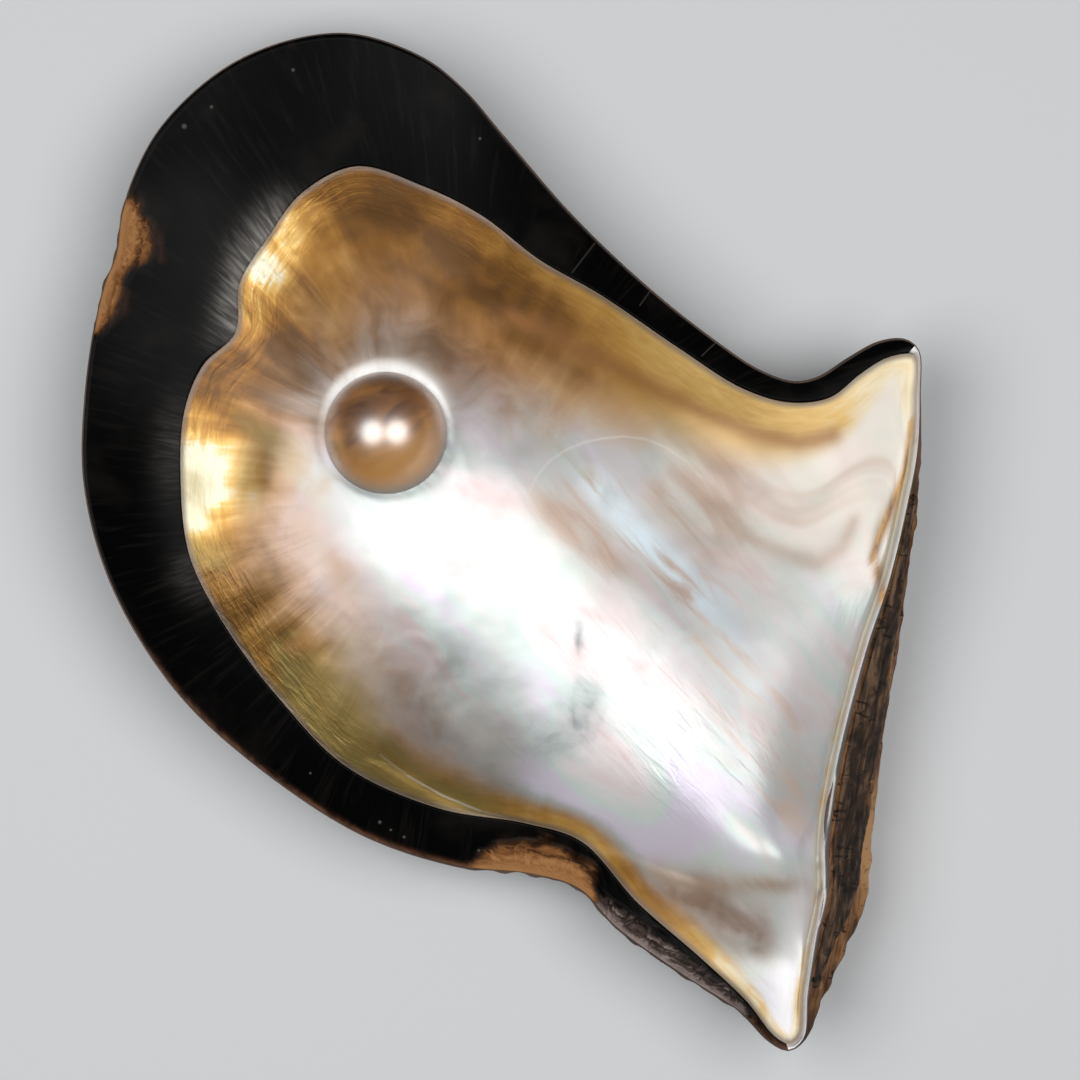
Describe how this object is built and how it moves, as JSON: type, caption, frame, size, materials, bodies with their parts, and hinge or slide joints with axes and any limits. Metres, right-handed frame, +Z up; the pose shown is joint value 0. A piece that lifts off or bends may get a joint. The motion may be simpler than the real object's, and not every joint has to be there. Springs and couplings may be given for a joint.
{
  "type": "winged pearl oyster shell",
  "caption": "Valve of a winged pearl oyster: a shallow nacre-lined dish with a dark border, a straight winged hinge and a raised half pearl.",
  "frame": {"origin": "middle of the part's box, on the surface that its back rests on", "axes": "+Z up, out of the hollow; +Y along the hinge line, from the ear to the wing; +X across the hollow, towards the hinge"},
  "size_m": [0.1236, 0.1332, 0.0183],
  "materials": {
    "shell": "lustrous nacre, glossy black border, rough brown hinge band and back",
    "pearl": "glossy bronze-gold nacre",
    "ligament": "matt, dry and fibrous"
  },
  "bodies": {
    "root": {"valve": "shell", "half_pearl": "pearl", "hinge_ligament": "ligament"}
  },
  "joints": []
}
